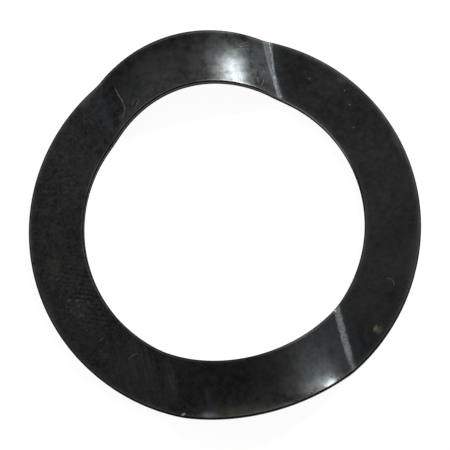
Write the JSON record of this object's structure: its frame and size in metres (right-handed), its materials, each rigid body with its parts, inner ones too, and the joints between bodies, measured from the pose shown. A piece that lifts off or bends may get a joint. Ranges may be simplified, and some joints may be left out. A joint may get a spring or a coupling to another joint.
{
  "type": "bowed spring washer",
  "caption": "Round spring steel washer bent along two parallel creases, so that a shallow arch stands between two flat wings and gives way under load.",
  "frame": {"origin": "axis of the hole at the plane that the flat wings rest on", "axes": "+Z along the hole's axis towards the arch's crown, +X across the two creases, +Y along them"},
  "size_m": [0.036, 0.036, 0.0035],
  "materials": {
    "blackened_steel": "oil-blackened spring steel, semi-gloss, with faint grinding marks"
  },
  "bodies": {
    "root": {"washer": "blackened_steel"}
  },
  "joints": []
}
